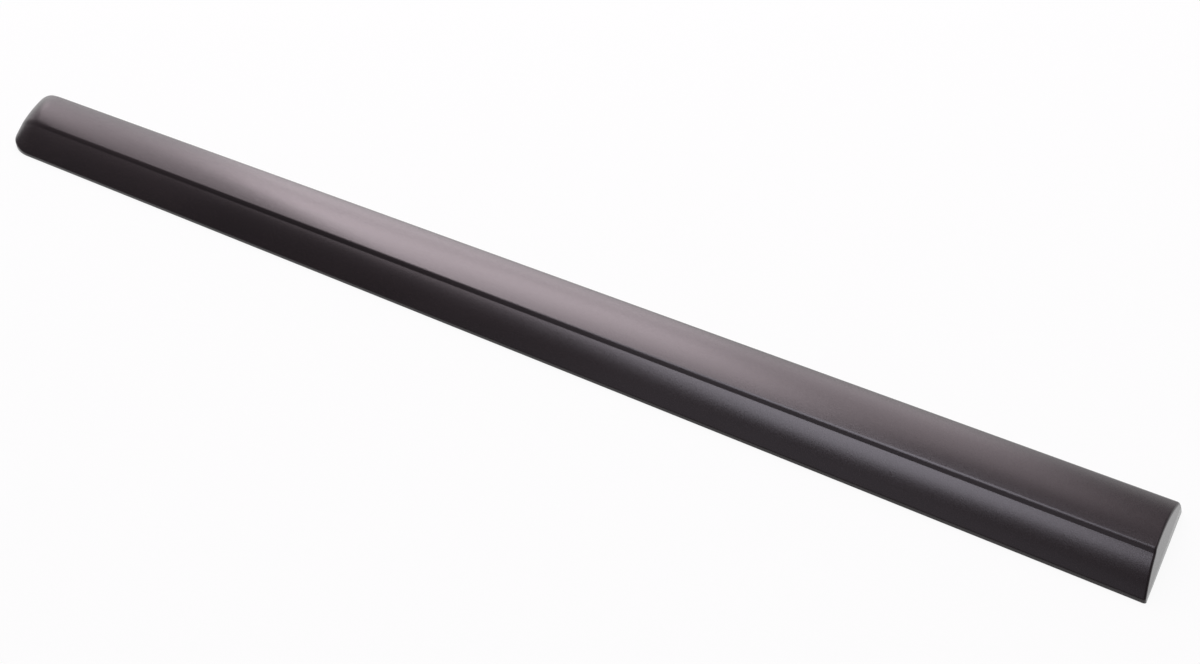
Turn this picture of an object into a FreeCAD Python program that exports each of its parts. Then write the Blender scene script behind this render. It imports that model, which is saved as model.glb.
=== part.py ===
import FreeCAD, Part
import math
import os
import Sketcher

# A black plastic body side moulding for a car door, moulded in one piece.
# It lies on its flat back. +X runs along the moulding to its square end, +Y to its upper edge,
# +Z out of the door. The origin is the middle of the flat back.

doc = FreeCAD.newDocument("side_moulding")

# Driving dimensions, in millimetres and degrees
SIZES = {
    "overall_length": 736.4,
    "overall_width": 61.2,
    # the section: places from the lower edge, heights above the back
    "lower_wall": 1.7,
    "step_place": 17.6,
    "step_run": 1.2,
    "step_rise": 1.5,
    "bead_run": 1.6,
    "bead_rise": 0.5,
    "bead_top": 11.95,
    "round_width": 4.4,
    "round_top": 7.2,
    "upper_wall": 1.4,
    # how far each curved stretch of the section stands off its chord
    "lower_bow": 1.15,
    "bead_bow": 0.16,
    "upper_bow": 2.02,
    "round_bow": 1.0,
    # the raked nose, seen from the front
    "rake": 35.0,
    "lower_corner": 33.0,
    "upper_corner": 9.5,
    # the nose falls over this length to this share of the section's height, and is trimmed there
    "nose_fall": 16.0,
    "nose_share": 0.15,
    "nose_trim": 0.3,
    # the share of the crease step that is left at the nose edge
    "step_left": 0.3,
    # the square end leans back from the base
    "end_lean": 15.0,
    "end_edge": 1.2,
    # the hollow back
    "skin": 2.6,
    "rim": 3.2,
    "end_wall": 3.0,
    "rib": 1.8,
    "cross_rib_drop": 0.8,
    "long_rib_spacing": 22.0,
    "clip_pitch": 116.0,
    "clip_boss": 12.0,
    "clip_hole": 3.6,
    "clip_hole_depth": 7.0,
}

sheet = doc.addObject("Spreadsheet::Sheet", "sizes")
for row, (name, value) in enumerate(SIZES.items(), start=1):
    sheet.set(f"A{row}", name)
    sheet.set(f"B{row}", str(value))
    sheet.setAlias(f"B{row}", name)
doc.recompute()

RAKE = "(sizes.rake * 1 deg)"
LEAN = "(sizes.end_lean * 1 deg)"
HALF_LENGTH = "(sizes.overall_length / 2)"
HALF_WIDTH = "(sizes.overall_width / 2)"
# where the nose edge crosses the middle line, for an upper corner that ends at the full length
NOSE_EDGE = (
    f"(-{HALF_LENGTH} + sizes.upper_corner * (1 - cos({RAKE}))"
    f" + ({HALF_WIDTH} - sizes.upper_corner * (1 + sin({RAKE}))) * tan({RAKE}))"
)
# cutters reach this far past what they cut
CLEAR = 10.0
# the nose's loft passes through sections at these points of its quarter ellipse, in degrees
NOSE_STEPS = (0, 15, 30, 45, 60, 75, 90)
# places along the moulding, in clip pitches from its middle
CLIP_PLACES = (-2.5, -1.5, -0.5, 0.5, 1.5, 2.5)
CROSS_RIB_PLACES = (-2.5, -2, -1.5, -1, -0.5, 0, 0.5, 1, 1.5, 2, 2.5, 3)


def origin_plane(body, role):
    """One of a body's own three base planes."""
    return next(plane for plane in body.Origin.OriginFeatures if plane.Role == role)


def new_sketch(body, name, role):
    """A sketch on one of the body's base planes."""
    sketch = body.newObject("Sketcher::SketchObject", name)
    sketch.AttachmentSupport = (origin_plane(body, role), "")
    sketch.MapMode = "FlatFace"
    return sketch


def number(sketch, expression):
    """The value that an expression has now, as a plain number."""
    value = sketch.evalExpression(expression)
    return float(getattr(value, "Value", value))


def arc_between(start, end, radius):
    """An arc from start to end that turns clockwise."""
    chord = end - start
    middle = (start + end) * 0.5
    right = FreeCAD.Vector(chord.y, -chord.x, 0).normalize()
    reach = math.sqrt(max(radius**2 - chord.Length**2 / 4, 0))
    centre = middle + right * reach
    from_angle = math.atan2(end.y - centre.y, end.x - centre.x)
    to_angle = math.atan2(start.y - centre.y, start.x - centre.x)
    return Part.ArcOfCircle(Part.Circle(centre, FreeCAD.Vector(0, 0, 1), radius), from_angle, to_angle)


def bow_radius(start, end, bow):
    """The radius of an arc that stands a bow's height off its chord."""
    run = f"(({end[0]}) - ({start[0]}))"
    rise = f"(({end[1]}) - ({start[1]}))"
    return f"({run} ^ 2 + {rise} ^ 2 + 4 * ({bow}) ^ 2) / (8 * ({bow}))"


def draw(sketch, corners, radii):
    """A closed outline: a straight or a clockwise arc from each corner to the next.

    corners holds an expression for each corner's two places, radii one for each arc by its first corner.
    """
    points = [FreeCAD.Vector(number(sketch, across), number(sketch, up), 0) for across, up in corners]
    starts = []
    for index, start in enumerate(points):
        end = points[(index + 1) % len(points)]
        if index in radii:
            edge = arc_between(start, end, number(sketch, radii[index]))
        else:
            edge = Part.LineSegment(start, end)
        sketch.addGeometry(edge, False)
        # an arc runs anticlockwise, so it starts at its far corner
        starts.append((2, 1) if index in radii else (1, 2))
    for index in range(len(points)):
        following = (index + 1) % len(points)
        sketch.addConstraint(
            Sketcher.Constraint("Coincident", index, starts[index][1], following, starts[following][0])
        )
    for index, (across, up) in enumerate(corners):
        for kind, place, value in (("DistanceX", across, points[index].x), ("DistanceY", up, points[index].y)):
            bound = sketch.addConstraint(Sketcher.Constraint(kind, index, starts[index][0], value))
            sketch.setExpression(f"Constraints[{bound}]", place)
    for index, radius in radii.items():
        bound = sketch.addConstraint(Sketcher.Constraint("Radius", index, number(sketch, radius)))
        sketch.setExpression(f"Constraints[{bound}]", radius)


def nose_share(step):
    """The share of the section's height that a step of the nose has."""
    return f"(sizes.nose_share + (1 - sizes.nose_share) * sin({step} deg))"


def nose_place(step):
    """Where the raked plane of a nose step crosses the middle line."""
    return f"({NOSE_EDGE} + (sizes.nose_fall * (1 - cos({step} deg)) - sizes.nose_trim) / cos({RAKE}))"


def across(place):
    """A place from the lower edge, as a place along the raked plane."""
    return f"(({place}) - {HALF_WIDTH}) / cos({RAKE})"


def raked_sketch(body, name, step):
    """A sketch on the upright raked plane of one nose step."""
    sketch = new_sketch(body, name, "YZ_Plane")
    sketch.AttachmentOffset = FreeCAD.Placement(
        FreeCAD.Vector(0, 0, number(sketch, nose_place(step))),
        FreeCAD.Rotation(FreeCAD.Vector(0, 1, 0), SIZES["rake"]),
    )
    sketch.setExpression("AttachmentOffset.Base.z", nose_place(step))
    sketch.setExpression("AttachmentOffset.Rotation.Angle", RAKE)
    return sketch


def outer_section(body, name, step):
    """The outside of the moulding: lower face, crease step, bead, crowned upper face, rounded edge."""
    share = nose_share(step)
    # the crease dies out before the nose edge, where its step only follows the slope of the lower face
    depth = f"sizes.step_rise * (sizes.step_left + (1 - sizes.step_left) * sin({step} deg) ^ 8)"
    bead_foot = "(sizes.bead_top - sizes.bead_rise)"
    bead_start = "(sizes.step_place + sizes.step_run)"
    corners = [
        (across("0"), "0"),
        (across("0"), f"{share} * sizes.lower_wall"),
        (across("sizes.step_place"), f"{share} * ({bead_foot} - {depth})"),
        (across(bead_start), f"{share} * {bead_foot}"),
        (across(f"{bead_start} + sizes.bead_run"), f"{share} * sizes.bead_top"),
        (across("sizes.overall_width - sizes.round_width"), f"{share} * sizes.round_top"),
        (across("sizes.overall_width"), f"{share} * sizes.upper_wall"),
        (across("sizes.overall_width"), "0"),
    ]
    bows = {1: "lower_bow", 3: "bead_bow", 4: "upper_bow", 5: "round_bow"}
    radii = {
        index: bow_radius(corners[index], corners[index + 1], f"{share} * sizes.{bow}")
        for index, bow in bows.items()
    }
    sketch = raked_sketch(body, name, step)
    draw(sketch, corners, radii)
    return sketch


def inner_section(body, name, step):
    """The hollow behind the skin, open below the back."""
    share = nose_share(step)
    bead_foot = "(sizes.bead_top - sizes.bead_rise)"
    bead_end = "(sizes.step_place + sizes.step_run + sizes.bead_run)"
    below = f"-{CLEAR}"
    corners = [
        (across("sizes.rim"), below),
        (across("sizes.rim"), f"{share} * (sizes.lower_wall + sizes.skin * 0.75) - sizes.skin"),
        (across("sizes.step_place"), f"{share} * ({bead_foot} - sizes.step_rise) - sizes.skin"),
        (across(f"{bead_end} + sizes.skin / 2"), f"{share} * sizes.bead_top - sizes.skin"),
        (across("sizes.overall_width - sizes.round_width"), f"{share} * sizes.round_top - sizes.skin"),
        (across("sizes.overall_width - sizes.rim"), f"{share} * (sizes.upper_wall + sizes.skin) - sizes.skin"),
        (across("sizes.overall_width - sizes.rim"), below),
    ]
    radii = {
        1: bow_radius(corners[1], corners[2], f"{share} * sizes.lower_bow"),
        3: bow_radius(corners[3], corners[4], f"{share} * sizes.upper_bow"),
    }
    sketch = raked_sketch(body, name, step)
    draw(sketch, corners, radii)
    return sketch


def cut_through(body, name, sketch):
    """Cuts a sketch's outline right through a body, and checks that something came off."""
    doc.recompute()
    before = body.Shape.Volume
    cut = body.newObject("PartDesign::Pocket", name)
    cut.Profile = sketch
    cut.Type = "ThroughAll"
    cut.SideType = "Symmetric"
    doc.recompute()
    assert body.Shape.Volume < before - 1, name + " cut nothing"


def cut_square_end(body, name, wall):
    """Ends a form at the leaning end plane, or a wall's thickness inside it."""
    low = f"(-2 * {CLEAR})"
    high = f"(4 * {CLEAR})"
    end = f"({HALF_LENGTH} - ({wall}) / cos({LEAN}))"
    past = f"({HALF_LENGTH} + sizes.overall_width + 4 * {CLEAR})"
    sketch = new_sketch(body, name + "_profile", "XZ_Plane")
    corners = [
        (f"{end} - {low} * tan({LEAN})", low),
        (f"{end} - {high} * tan({LEAN})", high),
        (past, high),
        (past, low),
    ]
    draw(sketch, corners, {})
    cut_through(body, name, sketch)


def cut_plan_corners(body, name, wall):
    """Trims a nose, seen from the front, to its raked edge with a wide lower and a tight upper corner.

    The trim runs a wall's thickness inside the moulding's outline, round the same corner centres.
    """
    low = f"(-{HALF_WIDTH} + {wall})"
    high = f"({HALF_WIDTH} - {wall})"
    left = f"(-{HALF_LENGTH} - {CLEAR})"
    lower_ends = corner_ends("sizes.lower_corner", f"(-{HALF_WIDTH} + sizes.lower_corner)", low, wall)
    upper_ends = corner_ends("sizes.upper_corner", f"({HALF_WIDTH} - sizes.upper_corner)", high, wall)
    corners = [(left, f"{low} - {CLEAR}"), (lower_ends[0][0], f"{low} - {CLEAR}")]
    corners += [*lower_ends, *reversed(upper_ends)]
    corners += [(upper_ends[0][0], f"{high} + {CLEAR}"), (left, f"{high} + {CLEAR}")]
    sketch = new_sketch(body, name + "_profile", "XY_Plane")
    draw(sketch, corners, {2: f"sizes.lower_corner - {wall}", 4: f"sizes.upper_corner - {wall}"})
    cut_through(body, name, sketch)


def corner_ends(radius, centre_place, edge_place, wall):
    """Where a plan corner's arc leaves the long edge, and where it meets the raked nose edge."""
    centre = f"({NOSE_EDGE} - {centre_place} * tan({RAKE}) + {radius} / cos({RAKE}))"
    trimmed = f"({radius} - {wall})"
    raked_end = (f"{centre} - {trimmed} * cos({RAKE})", f"{centre_place} - {trimmed} * sin({RAKE})")
    return [(centre, edge_place), raked_end]


def build_form(name, section, steps, wall):
    """A form along the moulding: a lofted nose, a straight length and the leaning end."""
    body = doc.addObject("PartDesign::Body", name)
    sections = [section(body, f"{name}_section_{step}", step) for step in steps]
    doc.recompute()
    nose = body.newObject("PartDesign::AdditiveLoft", name + "_nose")
    nose.Profile = sections[-1]
    nose.Sections = list(reversed(sections[:-1]))
    doc.recompute()
    length = body.newObject("PartDesign::Pad", name + "_length")
    length.Profile = sections[-1]
    length.UseCustomVector = True
    length.AlongSketchNormal = False
    length.Direction = FreeCAD.Vector(1, 0, 0)
    length.setExpression(
        "Length",
        f"{HALF_LENGTH} - {nose_place(steps[-1])} + {HALF_WIDTH} * tan({RAKE}) + {CLEAR}",
    )
    doc.recompute()
    cut_square_end(body, name + "_end", wall)
    doc.recompute()
    return body


def round_end_edge(body, name):
    """Rounds the front edge of the leaning end, all round but for its foot."""
    lean = math.radians(SIZES["end_lean"])
    half_length = SIZES["overall_length"] / 2
    end_edges = []
    for index, edge in enumerate(body.Shape.Edges, start=1):
        points = [vertex.Point for vertex in edge.Vertexes]
        off_end = [
            abs((point.x - half_length) * math.cos(lean) + point.z * math.sin(lean)) for point in points
        ]
        if max(off_end) < 0.001 and max(point.z for point in points) > 0.001:
            end_edges.append(f"Edge{index}")
    before = body.Tip
    fillet = body.newObject("PartDesign::Fillet", name)
    fillet.Base = (before, end_edges)
    fillet.setExpression("Radius", "sizes.end_edge")
    doc.recompute()


def clip_posts(name, across_size, height):
    """Upright round posts at the six clip places, standing on the plane of the back."""
    posts = []
    for index, pitches in enumerate(CLIP_PLACES, start=1):
        post = doc.addObject("Part::Cylinder", f"{name}_{index}")
        post.setExpression("Radius", f"{across_size} / 2")
        post.setExpression("Height", height)
        post.setExpression("Placement.Base.x", f"{pitches} * sizes.clip_pitch")
        posts.append(post)
    return posts


def left_standing():
    """What is left standing in the hollow: cross ribs, two long ribs and the clip bosses."""
    ribs = []
    for index, pitches in enumerate(CROSS_RIB_PLACES, start=1):
        rib = doc.addObject("Part::Box", f"cross_rib_{index}")
        rib.setExpression("Length", "sizes.rib")
        rib.setExpression("Width", "sizes.overall_width")
        rib.setExpression("Height", "sizes.bead_top * 2")
        rib.setExpression("Placement.Base.x", f"{pitches} * sizes.clip_pitch - sizes.rib / 2")
        rib.setExpression("Placement.Base.y", f"-{HALF_WIDTH}")
        rib.setExpression("Placement.Base.z", "sizes.cross_rib_drop")
        ribs.append(rib)
    for side, name in ((-1, "lower_long_rib"), (1, "upper_long_rib")):
        rib = doc.addObject("Part::Box", name)
        rib.setExpression("Length", "sizes.overall_length")
        rib.setExpression("Width", "sizes.rib")
        rib.setExpression("Height", "sizes.bead_top * 2")
        rib.setExpression("Placement.Base.x", f"-{HALF_LENGTH}")
        rib.setExpression("Placement.Base.y", f"{side} * sizes.long_rib_spacing / 2 - sizes.rib / 2")
        ribs.append(rib)
    joined = doc.addObject("Part::MultiFuse", "ribs_and_bosses")
    joined.Shapes = ribs + clip_posts("clip_boss", "sizes.clip_boss", "sizes.bead_top * 2")
    return joined


# The outside
outer = build_form("outer_form", outer_section, NOSE_STEPS, "0")
cut_plan_corners(outer, "plan_corners", "0")
round_end_edge(outer, "end_edge_round")

# The hollow back
inner = build_form("inner_form", inner_section, NOSE_STEPS[1:], "sizes.end_wall")
cut_plan_corners(inner, "inner_plan_corners", "sizes.rim")
hollow = doc.addObject("Part::Cut", "hollow")
hollow.Base = inner
hollow.Tool = left_standing()
clip_holes = doc.addObject("Part::MultiFuse", "clip_holes")
clip_holes.Shapes = clip_posts("clip_hole", "sizes.clip_hole", "sizes.clip_hole_depth")

# The finished piece
hollowed = doc.addObject("Part::Cut", "hollowed")
hollowed.Base = outer
hollowed.Tool = hollow
moulding = doc.addObject("Part::Cut", "side_moulding")
moulding.Label = "side_moulding"
moulding.Base = hollowed
moulding.Tool = clip_holes
doc.recompute()

for item in doc.Objects:
    assert not {"Invalid", "Error"} & set(item.State), f"{item.Name}: {item.State}"
for form in (outer, inner, hollow, hollowed, moulding):
    assert not form.Shape.isNull() and form.Shape.isValid(), form.Name + " has no valid shape"
assert moulding.Shape.Volume < hollowed.Shape.Volume - 1, "the clip holes cut nothing"
assert len(moulding.Shape.Solids) == 1, "the moulding is one solid"

os.makedirs("parts", exist_ok=True)
moulding.Shape.exportStep(f"parts/{moulding.Label}.step")
box = moulding.Shape.BoundBox
print(f"{moulding.Label}: {moulding.Shape.Volume / 1000:.1f} cm3, {len(moulding.Shape.Faces)} faces, {box}")
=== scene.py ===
"""The side moulding's looks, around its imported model."""
import math

import bmesh
import bpy
import numpy as np
from mathutils import Matrix, Vector


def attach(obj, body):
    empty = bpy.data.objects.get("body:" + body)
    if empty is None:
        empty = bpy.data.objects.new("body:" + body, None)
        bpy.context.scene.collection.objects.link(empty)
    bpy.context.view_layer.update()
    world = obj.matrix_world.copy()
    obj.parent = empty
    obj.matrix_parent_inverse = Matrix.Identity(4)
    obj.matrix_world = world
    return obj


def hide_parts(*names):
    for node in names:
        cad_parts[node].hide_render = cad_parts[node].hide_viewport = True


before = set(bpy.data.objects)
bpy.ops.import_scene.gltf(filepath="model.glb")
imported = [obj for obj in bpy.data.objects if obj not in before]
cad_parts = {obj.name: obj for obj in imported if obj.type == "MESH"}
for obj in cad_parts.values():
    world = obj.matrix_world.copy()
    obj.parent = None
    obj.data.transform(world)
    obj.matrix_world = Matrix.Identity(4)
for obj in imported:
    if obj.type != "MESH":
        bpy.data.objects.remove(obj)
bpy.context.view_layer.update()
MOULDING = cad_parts["side_moulding"]

MM = 0.001
# points nearer to each other than this, in metres, are one point
SLIGHT = 1e-6

# The moulding's sizes, in millimetres, as the part's source has them but for the step
LENGTH = 736.4
WIDTH = 61.2
# corners of the section: place from the lower edge, height above the back
LOWER_FOOT = (0.0, 1.7)
# the step is narrower and lower than in the source, about the same middle
STEP_FOOT = (18.0, 10.5)
STEP_HEAD = (18.4, 10.95)
BEAD_TOP = (20.4, 11.95)
ROUND_START = (56.8, 7.2)
UPPER_FOOT = (61.2, 1.4)
# how far each curved stretch of the section stands off its chord
LOWER_BOW = 1.15
BEAD_BOW = 0.16
UPPER_BOW = 2.02
ROUND_BOW = 1.0
# the raked nose, seen from the front
RAKE = math.radians(35.0)
LOWER_CORNER = 33.0
UPPER_CORNER = 9.5
# the nose falls over this length to this share of the section's height, and is trimmed there
NOSE_FALL = 16.0
NOSE_SHARE = 0.15
NOSE_TRIM = 0.3
# the square end leans back from the base, and its front edge is round
END_LEAN = math.radians(15.0)
END_EDGE = 1.2

HALF_LENGTH = LENGTH / 2
HALF_WIDTH = WIDTH / 2
# where the nose edge crosses the middle line
NOSE_EDGE = (
    -HALF_LENGTH
    + UPPER_CORNER * (1 - math.cos(RAKE))
    + (HALF_WIDTH - UPPER_CORNER * (1 + math.sin(RAKE))) * math.tan(RAKE)
)

# Soft forms that only this finer skin has, in millimetres
# distances in from the nose edge between which the crease comes up out of a soft shoulder
CREASE_START = 12.0
CREASE_END = 30.0
STEP_ROUND = 0.7
# the shoulder at the nose, and the place towards the upper edge where its softness ends
SHOULDER_ROUND = 3.5
SHOULDER_END = 46.0
SHOULDER_EASE = 18.0
# the rounding along the outline, and the most of the height that it takes
FOOT_ROUND = 0.5
FOOT_SHARE = 0.6
# it fades out over this width, this far before the upper edge, which is round already
FOOT_FADE = 4.0
FOOT_CLEAR = 2.0

# How finely the skin is divided
TABLE_SPACING = 0.02
ARC_POINTS = 200
# rows along the moulding, by place: start, end and spacing in millimetres
ROW_RUNS = ((14.4, 17.0, 0.5), (17.1, 21.0, 0.08), (21.2, 46.0, 0.6))
# and round the nose's corners: start, end and spacing in degrees
LOWER_TURNS = (10, 55, 2.0)
UPPER_TURNS = (0, 126, 3.0)
OUTLINE_TURNS = (0, 91, 11.25)
# the nose's columns, closer together towards its edge, and the place along the moulding where they end
NOSE_COLUMNS = 45
NOSE_CROWDING = 1.5
NOSE_END = -300.0
STRAIGHT_COLUMNS = 11
END_COLUMNS = 10
# edges that turn more than this are sharp
SHARP_EDGE = math.radians(32)

# The plastic: patterns as cells a metre with levels of detail, colours, roughness, and depth in metres
GRAIN = (1900, 3)
SPECKLE = (4800, 2)
FLOW = (28, 4)
FLOW_STRETCH = (0.35, 1, 1)
PLASTIC_DARK = (0.013, 0.009, 0.0098, 1)
PLASTIC_PALE = (0.0175, 0.0122, 0.0132, 1)
# levels of the flow where the plastic is dark and pale, and of a pattern where roughness is least and most
SHADE_LEVELS = (0.35, 0.65)
ROUGHNESS_LEVELS = (0.3, 0.7)
FLOW_ROUGHNESS = (0.245, 0.275)
# the end was moulded against a smoother face of the tool
END_ROUGHNESS = (0.07, 0.1)
SPECKLE_ROUGHNESS = (-0.01, 0.03)
GRAIN_DEPTH = 0.000012

# The camera, in metres, turned as the photograph's was
CAMERA_PLACE = Vector((0.3816, -0.4371, 0.3917))
CAMERA_RIGHT = Vector((0.8392, 0.5439, -0.0089))
CAMERA_FORWARD = Vector((-0.4553, 0.6933, -0.5586))
LENS_MM = 38.89
SENSOR_MM = 36.0
SHIFT_Y = -0.0473
NEAREST = 0.01

# The surroundings, in metres
FLOOR_SIZE = 40.0
# the floor is this far below the moulding's back, so that the two don't coincide
FLOOR_DROP = 0.0002
FLOOR_COLOUR = (0.92, 0.91, 0.92, 1)
FLOOR_ROUGHNESS = 0.8
GLOW_COLOUR = (1, 1, 1, 1)
# how much of the floor's look is plain white, and the rest is its own lit surface
FLOOR_WHITE = 0.92
HORIZON_COLOUR = (1.0, 0.97, 0.99, 1)
CEILING_COLOUR = (0.17, 0.155, 0.168, 1)
# the room is white where a direction rises less than the first of these, and dim above the second
HORIZON_TOP = 0.02
CEILING_START = 0.24
LAMP_DISTANCE = 2.4
WINDOW_COLOUR = (1.0, 0.86, 0.92)
OVERHEAD_COLOUR = (0.92, 0.88, 1.0)
# softboxes: degrees round from +X, degrees up from the floor, width and height, brightness, colour
SOFTBOXES = {
    "window": (114, 24, (2.1, 1.6), 1.8, WINDOW_COLOUR),
    "window_middle": (124, 36, (1.2, 1.4), 3.1, WINDOW_COLOUR),
    "left_fill": (146, 33, (0.78, 2.3), 1.2, WINDOW_COLOUR),
    "left_low": (160, 13, (0.9, 0.5), 0.6, WINDOW_COLOUR),
    "window_low": (122, 8, (1.2, 0.42), 1.1, WINDOW_COLOUR),
    "right_fill": (61, 45, (0.95, 1.2), 0.75, WINDOW_COLOUR),
    "overhead": (117, 72, (1.2, 1.3), 4.6, OVERHEAD_COLOUR),
    "near_fill": (256, 56, (1.7, 1.5), 0.45, OVERHEAD_COLOUR),
}


def bowed(start, end, bow):
    """Points along one stretch of the section, which the nose's raked plane shows as a circle's arc."""
    if bow == 0:
        return [start, end]
    first = np.array([start[0] / math.cos(RAKE), start[1]])
    last = np.array([end[0] / math.cos(RAKE), end[1]])
    chord = last - first
    span = np.hypot(*chord)
    radius = (span**2 + 4 * bow**2) / (8 * bow)
    inward = np.array([chord[1], -chord[0]]) / span
    centre = (first + last) / 2 + inward * (radius - bow)
    half_angle = math.asin(span / 2 / radius)
    turns = np.linspace(-half_angle, half_angle, ARC_POINTS)
    points = centre + radius * (-inward * np.cos(turns)[:, None] + chord / span * np.sin(turns)[:, None])
    return [(across * math.cos(RAKE), up) for across, up in points]


def softened(heights, rounding):
    """Evenly spaced heights with their corners softened, this far to each side."""
    reach = int(rounding / TABLE_SPACING)
    before = heights[0] - (heights[1] - heights[0]) * np.arange(reach, 0, -1)
    after = heights[-1] + (heights[-1] - heights[-2]) * np.arange(1, reach + 1)
    window = np.hanning(2 * reach + 1)
    return np.convolve(np.concatenate([before, heights, after]), window / window.sum(), "valid")


def section_table(step_foot):
    """The front's height at evenly spaced places, with its corners softened."""
    stretches = [
        (LOWER_FOOT, step_foot, LOWER_BOW), (step_foot, STEP_HEAD, 0), (STEP_HEAD, BEAD_TOP, BEAD_BOW),
        (BEAD_TOP, ROUND_START, UPPER_BOW), (ROUND_START, UPPER_FOOT, ROUND_BOW),
    ]
    points = np.array([point for stretch in stretches for point in bowed(*stretch)])
    places = np.arange(0, WIDTH + TABLE_SPACING / 2, TABLE_SPACING)
    return places, softened(np.interp(places, points[:, 0], points[:, 1]), STEP_ROUND)


def shoulder_table():
    """The same with no step: the lower face runs into the upper one over a soft shoulder."""
    places, heights = section_table((STEP_FOOT[0], STEP_HEAD[1]))
    softness = np.clip((SHOULDER_END - places) / SHOULDER_EASE, 0, 1)
    return places, heights + softness * (softened(heights, SHOULDER_ROUND) - heights)


def turned_in(turns):
    """How far in from its side a circle of radius 1 is at evenly spaced turns: start, end, spacing."""
    return 1 - np.cos(np.radians(np.arange(*turns)))


def row_places():
    """Places of the rows, close together at the step and round both corners of the nose."""
    runs = [np.arange(*run) for run in ROW_RUNS]
    lower = LOWER_CORNER * turned_in(LOWER_TURNS)
    upper = WIDTH - UPPER_CORNER * turned_in(UPPER_TURNS)
    return np.unique(np.round(np.concatenate([EDGE_STEPS, lower, *runs, upper]), 4))


# heights by place, with the whole step and with none
FULL_STEP = section_table(STEP_FOOT)
FADED_STEP = shoulder_table()
# distances in from the outline that follow its rounding
EDGE_STEPS = FOOT_ROUND * turned_in(OUTLINE_TURNS)
PLACES = row_places()


def front_height(x, place, inside):
    """The front's height at a place, as far inside the outline as given."""
    off_edge = (x - NOSE_EDGE + (place - HALF_WIDTH) * math.tan(RAKE)) * math.cos(RAKE) + NOSE_TRIM
    fall = np.clip(1 - off_edge / NOSE_FALL, 0, 1)
    share = NOSE_SHARE + (1 - NOSE_SHARE) * np.sqrt(1 - fall**2)
    come = np.clip((off_edge - CREASE_START) / (CREASE_END - CREASE_START), 0, 1)
    step = come**2 * (3 - 2 * come)
    height = share * (step * np.interp(place, *FULL_STEP) + (1 - step) * np.interp(place, *FADED_STEP))
    fade = np.clip((WIDTH - FOOT_CLEAR - place) / FOOT_FADE, 0, 1)
    depth = np.minimum(FOOT_ROUND, height * FOOT_SHARE) * fade
    out = np.clip(1 - inside / FOOT_ROUND, 0, 1)
    return height - depth * (1 - np.sqrt(1 - out**2))


def outline_start(y, inside):
    """Where the nose's outline, moved inwards, crosses each of these places."""
    x = NOSE_EDGE - y * math.tan(RAKE) + inside / math.cos(RAKE)
    for corner, side in ((LOWER_CORNER, -1), (UPPER_CORNER, 1)):
        centre_y = side * (HALF_WIDTH - corner)
        centre_x = NOSE_EDGE - centre_y * math.tan(RAKE) + corner / math.cos(RAKE)
        radius = corner - inside
        arc = centre_x - np.sqrt(np.maximum(radius**2 - (y - centre_y) ** 2, 0))
        on_arc = side * (y - centre_y + radius * math.sin(RAKE)) > 0
        x = np.where(on_arc, arc, x)
    return x


def end_centres(height):
    """Centres of the end's rounding, the points of the section that they belong to, and its directions."""
    y = np.concatenate([[-HALF_WIDTH], PLACES - HALF_WIDTH, [HALF_WIDTH]])
    z = np.concatenate([[0], height, [0]])
    along = np.array([np.gradient(y), np.gradient(z)])
    along /= np.hypot(*along)
    out_y, out_z = -along[1], along[0]
    out_y[[0, 1, -2, -1]] = -1, -1, 1, 1
    out_z[[0, 1, -2, -1]] = 0
    # the rounding is mitred where the section turns more sharply than it does
    centre_y = np.maximum.accumulate(y - END_EDGE * out_y)
    centre_z = z - END_EDGE * out_z
    crown = int(np.argmax(centre_z))
    centre_z[:crown] = np.maximum.accumulate(centre_z[:crown])
    centre_z[crown:] = np.maximum.accumulate(centre_z[crown:][::-1])[::-1]
    centre_x = HALF_LENGTH - centre_z * math.tan(END_LEAN) - END_EDGE / math.cos(END_LEAN)
    return centre_x, centre_y, centre_z, y, z, out_y, out_z


def skin_rows():
    """The front as rows of points that run from the nose to where the end's rounding starts."""
    y = PLACES - HALF_WIDTH
    to_long_edge = np.minimum(PLACES, WIDTH - PLACES)
    columns = []
    for inside in EDGE_STEPS:
        x = outline_start(y, inside)
        columns.append((x, front_height(x, PLACES, np.minimum(inside, to_long_edge))))
    start = columns[-1][0]
    for share in np.linspace(0, 1, NOSE_COLUMNS + 1)[1:] ** NOSE_CROWDING:
        x = start + share * (NOSE_END - start)
        columns.append((x, front_height(x, PLACES, to_long_edge)))
    height = columns[-1][1]
    # the first and last centres belong to the feet of the walls
    x_end = end_centres(height)[0][1:-1]
    for share in np.linspace(0, 1, STRAIGHT_COLUMNS + 1)[1:]:
        columns.append((NOSE_END + share * (x_end - NOSE_END), height))
    x = np.array([column[0] for column in columns]).T
    z = np.array([column[1] for column in columns]).T
    return np.stack([x, np.repeat(y[:, None], x.shape[1], axis=1), z], axis=2)


def end_rows(height):
    """The end's rounded edge as rows of points, from the front and its walls to the leaning end."""
    centre_x, centre_y, centre_z, y, z, out_y, out_z = end_centres(height)
    outward = np.stack([np.zeros_like(out_y), out_y, out_z], axis=1)
    facing = np.array([math.cos(END_LEAN), 0, math.sin(END_LEAN)])
    centre = np.stack([centre_x, centre_y, centre_z], axis=1)
    start = np.stack([centre_x, y, z], axis=1)
    angle = np.arccos(outward @ facing)
    rows = []
    for share in np.linspace(0, 1, END_COLUMNS + 1):
        turned = (
            outward * (np.sin((1 - share) * angle) / np.sin(angle))[:, None]
            + facing * (np.sin(share * angle) / np.sin(angle))[:, None]
        )
        points = centre + END_EDGE * turned + (1 - share) * (start - centre - END_EDGE * outward)
        # both feet stay on the plane of the back
        for foot in (0, -1):
            points[foot, 0] += points[foot, 2] * math.tan(END_LEAN)
            points[foot, 2] = 0
        rows.append(points)
    return np.array(rows).transpose(1, 0, 2)


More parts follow.
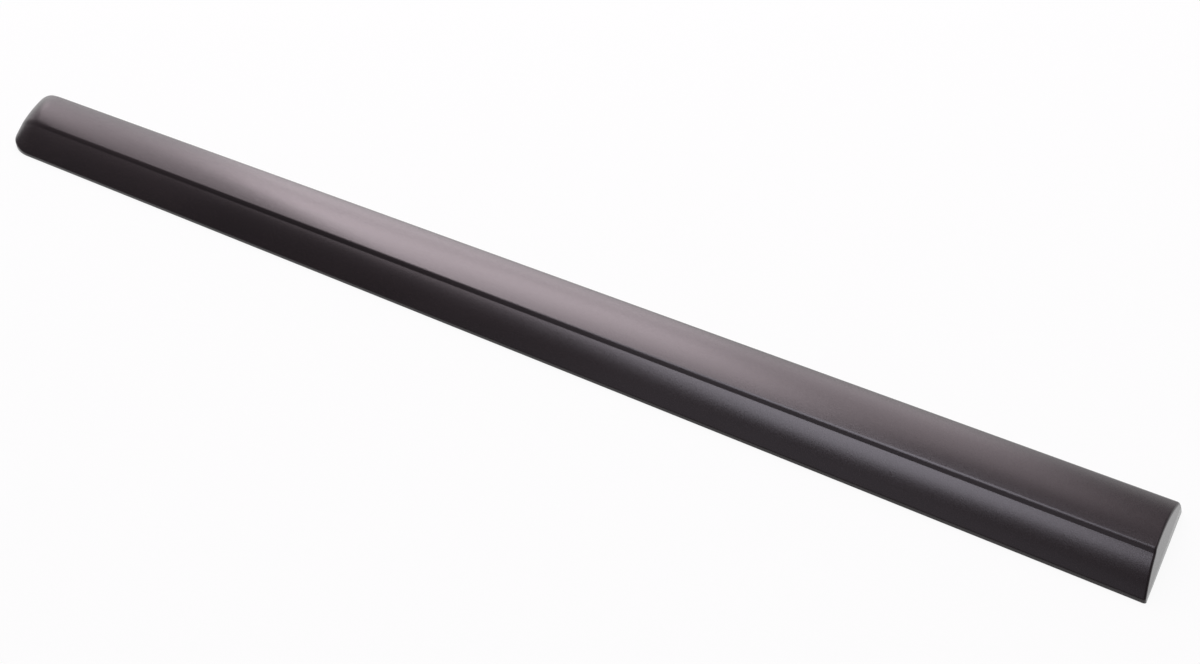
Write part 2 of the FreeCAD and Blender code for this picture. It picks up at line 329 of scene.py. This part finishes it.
def add_grid(mesh, rows):
    """Adds a grid of points as quads."""
    made = [[mesh.verts.new(Vector(point) * MM) for point in row] for row in rows.tolist()]
    for first, second in zip(made, made[1:]):
        for index in range(len(first) - 1):
            corners = (first[index], first[index + 1], second[index + 1], second[index])
            mesh.faces.new(corners).smooth = True


def add_hollow(mesh):
    """Adds the hollow back with its ribs, bosses and holes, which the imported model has."""
    mesh.from_mesh(MOULDING.data)
    bmesh.ops.remove_doubles(mesh, verts=mesh.verts, dist=SLIGHT)
    on_back = [face for face in mesh.faces if all(abs(vertex.co.z) < SLIGHT for vertex in face.verts)]
    bmesh.ops.delete(mesh, geom=on_back, context="FACES")
    # what is still joined to the highest point is the outside, which the finer skin stands for
    outside = {max(mesh.verts, key=lambda vertex: vertex.co.z)}
    fresh = list(outside)
    while fresh:
        linked = {edge.other_vert(vertex) for vertex in fresh for edge in vertex.link_edges}
        fresh = list(linked - outside)
        outside |= linked
    bmesh.ops.delete(mesh, geom=list(outside), context="VERTS")
    for face in mesh.faces:
        face.smooth = False


def close_back(mesh):
    """Fills the flat of the back, between the moulding's outline and the hollow."""
    on_back = [
        edge for edge in mesh.edges
        if edge.is_boundary and all(abs(vertex.co.z) < SLIGHT for vertex in edge.verts)
    ]
    bmesh.ops.triangle_fill(mesh, edges=on_back, use_beauty=True)


def make_moulding():
    """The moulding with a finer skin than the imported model's, on the same shape."""
    mesh = bmesh.new()
    add_hollow(mesh)
    skin = skin_rows()
    end = end_rows(skin[:, -1, 2])
    edge = np.concatenate([skin[0, ::-1], skin[1:, 0], skin[-1, 1:]])
    foot = edge * [1, 1, 0]
    foot[0], foot[-1] = end[0, 0], end[-1, 0]
    add_grid(mesh, skin)
    add_grid(mesh, np.stack([foot, edge]))
    add_grid(mesh, end)
    mesh.faces.new([mesh.verts.new(Vector(point) * MM) for point in end[:, -1].tolist()]).smooth = True
    bmesh.ops.remove_doubles(mesh, verts=mesh.verts, dist=SLIGHT)
    bmesh.ops.dissolve_degenerate(mesh, edges=mesh.edges, dist=SLIGHT)
    close_back(mesh)
    bmesh.ops.recalc_face_normals(mesh, faces=mesh.faces)
    data = bpy.data.meshes.new("moulding_body")
    mesh.to_mesh(data)
    mesh.free()
    data.materials.append(black_plastic("black_plastic_satin", FLOW_ROUGHNESS))
    data.materials.append(black_plastic("black_plastic_smooth", END_ROUGHNESS))
    end_face = max(data.polygons, key=lambda face: face.area * face.normal.x)
    end_face.material_index = 1
    data.set_sharp_from_angle(angle=SHARP_EDGE)
    made = bpy.data.objects.new("moulding_body", data)
    bpy.context.scene.collection.objects.link(made)
    made.modifiers.new("even_shading", "WEIGHTED_NORMAL").keep_sharp = True
    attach(made, "root")
    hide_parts("side_moulding")


def material(name):
    """A new node material, with its shader and its nodes."""
    made = bpy.data.materials.new(name)
    made.use_nodes = True
    return made, made.node_tree.nodes["Principled BSDF"], made.node_tree


def noise(tree, place, scale, detail, stretch=(1, 1, 1)):
    """A noise pattern on the object's own coordinates, with this many cells a metre."""
    spread = tree.nodes.new("ShaderNodeMapping")
    spread.inputs["Scale"].default_value = stretch
    made = tree.nodes.new("ShaderNodeTexNoise")
    made.inputs["Scale"].default_value = scale
    made.inputs["Detail"].default_value = detail
    tree.links.new(place, spread.inputs["Vector"])
    tree.links.new(spread.outputs["Vector"], made.inputs["Vector"])
    return made.outputs["Fac"]


def between(tree, value, low, high):
    """A pattern turned into roughness from low to high."""
    made = tree.nodes.new("ShaderNodeMapRange")
    start, end = ROUGHNESS_LEVELS
    for name, number in (("From Min", start), ("From Max", end), ("To Min", low), ("To Max", high)):
        made.inputs[name].default_value = number
    tree.links.new(value, made.inputs["Value"])
    return made.outputs["Result"]


def combined(tree, operation, first, second):
    """Two outputs of nodes put together, such as by their sum."""
    made = tree.nodes.new("ShaderNodeMath")
    made.operation = operation
    tree.links.new(first, made.inputs[0])
    tree.links.new(second, made.inputs[1])
    return made.outputs[0]


def black_plastic(name, roughness):
    """Black moulded plastic, with a very fine grain and faint flow along its length."""
    made, shader, tree = material(name)
    place = tree.nodes.new("ShaderNodeTexCoord").outputs["Object"]
    grain = noise(tree, place, *GRAIN)
    speckle = noise(tree, place, *SPECKLE)
    flow = noise(tree, place, *FLOW, FLOW_STRETCH)

    shade = tree.nodes.new("ShaderNodeValToRGB")
    dark, pale = shade.color_ramp.elements
    dark.position, pale.position = SHADE_LEVELS
    dark.color, pale.color = PLASTIC_DARK, PLASTIC_PALE
    tree.links.new(flow, shade.inputs["Fac"])
    tree.links.new(shade.outputs["Color"], shader.inputs["Base Color"])

    broad = between(tree, flow, *roughness)
    fine = between(tree, speckle, *SPECKLE_ROUGHNESS)
    tree.links.new(combined(tree, "ADD", broad, fine), shader.inputs["Roughness"])

    bump = tree.nodes.new("ShaderNodeBump")
    bump.inputs["Strength"].default_value = 1.0
    bump.inputs["Distance"].default_value = GRAIN_DEPTH
    tree.links.new(combined(tree, "ADD", grain, speckle), bump.inputs["Height"])
    tree.links.new(bump.outputs["Normal"], shader.inputs["Normal"])
    return made


def pale_floor():
    """A white sheet, which keeps a faint shadow where the camera sees it."""
    made, shader, tree = material("floor_white")
    shader.inputs["Base Color"].default_value = FLOOR_COLOUR
    shader.inputs["Roughness"].default_value = FLOOR_ROUGHNESS
    shader.inputs["Specular IOR Level"].default_value = 0.0
    glow = tree.nodes.new("ShaderNodeEmission")
    glow.inputs["Color"].default_value = GLOW_COLOUR
    paths = tree.nodes.new("ShaderNodeLightPath").outputs
    seen = combined(tree, "MAXIMUM", paths["Is Camera Ray"], paths["Is Glossy Ray"])
    seen = combined(tree, "MAXIMUM", seen, paths["Is Transmission Ray"])
    white = tree.nodes.new("ShaderNodeMath")
    white.operation = "MULTIPLY"
    white.inputs[1].default_value = FLOOR_WHITE
    tree.links.new(seen, white.inputs[0])
    mix = tree.nodes.new("ShaderNodeMixShader")
    tree.links.new(white.outputs[0], mix.inputs["Fac"])
    tree.links.new(shader.outputs[0], mix.inputs[1])
    tree.links.new(glow.outputs[0], mix.inputs[2])
    tree.links.new(mix.outputs[0], tree.nodes["Material Output"].inputs["Surface"])
    return made


def make_floor():
    """The white sheet that the moulding lies on."""
    half = FLOOR_SIZE / 2
    corners = [(-half, -half, 0), (half, -half, 0), (half, half, 0), (-half, half, 0)]
    mesh = bpy.data.meshes.new("floor")
    mesh.from_pydata(corners, [], [(0, 1, 2, 3)])
    mesh.materials.append(pale_floor())
    made = bpy.data.objects.new("floor", mesh)
    bpy.context.scene.collection.objects.link(made)
    made.location.z = -FLOOR_DROP


def softbox(name, azimuth, elevation, size, brightness, colour):
    """A soft rectangular lamp that faces the moulding, as bright as given in a mirror."""
    turn, rise = math.radians(azimuth), math.radians(elevation)
    place = LAMP_DISTANCE * Vector((
        math.cos(turn) * math.cos(rise), math.sin(turn) * math.cos(rise), math.sin(rise),
    ))
    lamp = bpy.data.lights.new(name, "AREA")
    lamp.shape = "RECTANGLE"
    lamp.size, lamp.size_y = size
    lamp.color = colour
    lamp.energy = brightness * math.pi * size[0] * size[1]
    made = bpy.data.objects.new(name, lamp)
    bpy.context.scene.collection.objects.link(made)
    made.location = place
    made.rotation_euler = (-place).to_track_quat("-Z", "Y").to_euler()
    made.visible_camera = False


def set_camera():
    """The photograph's viewpoint."""
    lens = bpy.data.cameras.new("camera")
    lens.lens = LENS_MM
    lens.sensor_width = SENSOR_MM
    lens.shift_y = SHIFT_Y
    lens.clip_start = NEAREST
    made = bpy.data.objects.new("camera", lens)
    bpy.context.scene.collection.objects.link(made)
    back = -CAMERA_FORWARD.normalized()
    right = (CAMERA_RIGHT - CAMERA_RIGHT.dot(back) * back).normalized()
    up = back.cross(right)
    turned = Matrix((right, up, back)).transposed().to_4x4()
    made.matrix_world = Matrix.Translation(CAMERA_PLACE) @ turned
    bpy.context.scene.camera = made


def set_world():
    """A room that is white along its horizon and dim overhead."""
    world = bpy.data.worlds.new("room")
    bpy.context.scene.world = world
    world.use_nodes = True
    tree = world.node_tree
    place = tree.nodes.new("ShaderNodeTexCoord")
    parts = tree.nodes.new("ShaderNodeSeparateXYZ")
    ramp = tree.nodes.new("ShaderNodeValToRGB")
    low, high = ramp.color_ramp.elements
    low.position, low.color = HORIZON_TOP, HORIZON_COLOUR
    high.position, high.color = CEILING_START, CEILING_COLOUR
    ramp.color_ramp.interpolation = "EASE"
    tree.links.new(place.outputs["Generated"], parts.inputs[0])
    tree.links.new(parts.outputs["Z"], ramp.inputs["Fac"])
    tree.links.new(ramp.outputs["Color"], tree.nodes["Background"].inputs["Color"])


set_camera()
set_world()
make_floor()
for box_name, box_values in SOFTBOXES.items():
    softbox(box_name, *box_values)

make_moulding()

bpy.context.scene.view_settings.view_transform = "Standard"
